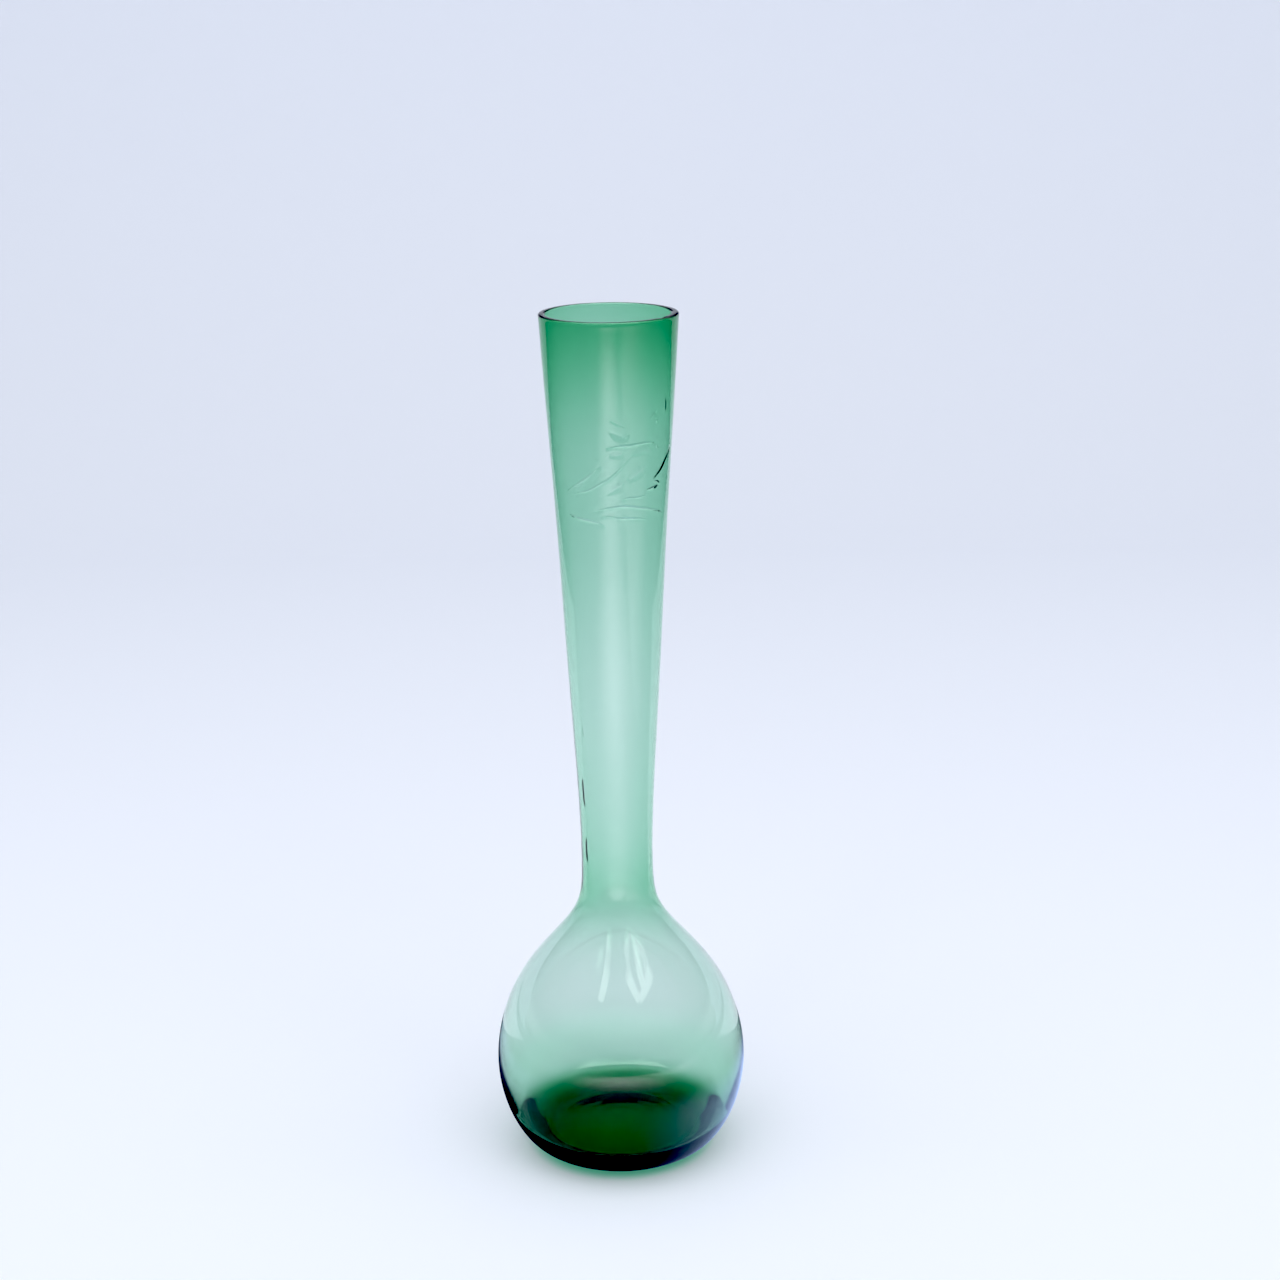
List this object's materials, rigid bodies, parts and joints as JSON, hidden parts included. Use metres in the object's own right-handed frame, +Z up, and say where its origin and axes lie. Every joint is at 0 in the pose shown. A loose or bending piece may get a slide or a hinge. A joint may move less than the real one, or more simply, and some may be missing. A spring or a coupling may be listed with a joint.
{
  "type": "bud vase",
  "caption": "Glass bud vase: round bulb on a thick base and a long neck that widens to an open rim; holds slender cut stems upright in water and stands on a flat foot.",
  "frame": {"origin": "centre of the vase at the level of the face that it rests on", "axes": "+Z up along the vase's own axis, from foot to rim; +X and +Y level, with the engraved side of the neck towards -Y"},
  "size_m": [0.0764, 0.0764, 0.26],
  "materials": {
    "green_glass": "clear green soda-lime glass, fire-polished"
  },
  "bodies": {
    "root": {"base": "green_glass", "bulb": "green_glass", "shoulder": "green_glass", "neck_lower": "green_glass", "neck_upper": "green_glass", "rim": "green_glass"}
  },
  "joints": []
}
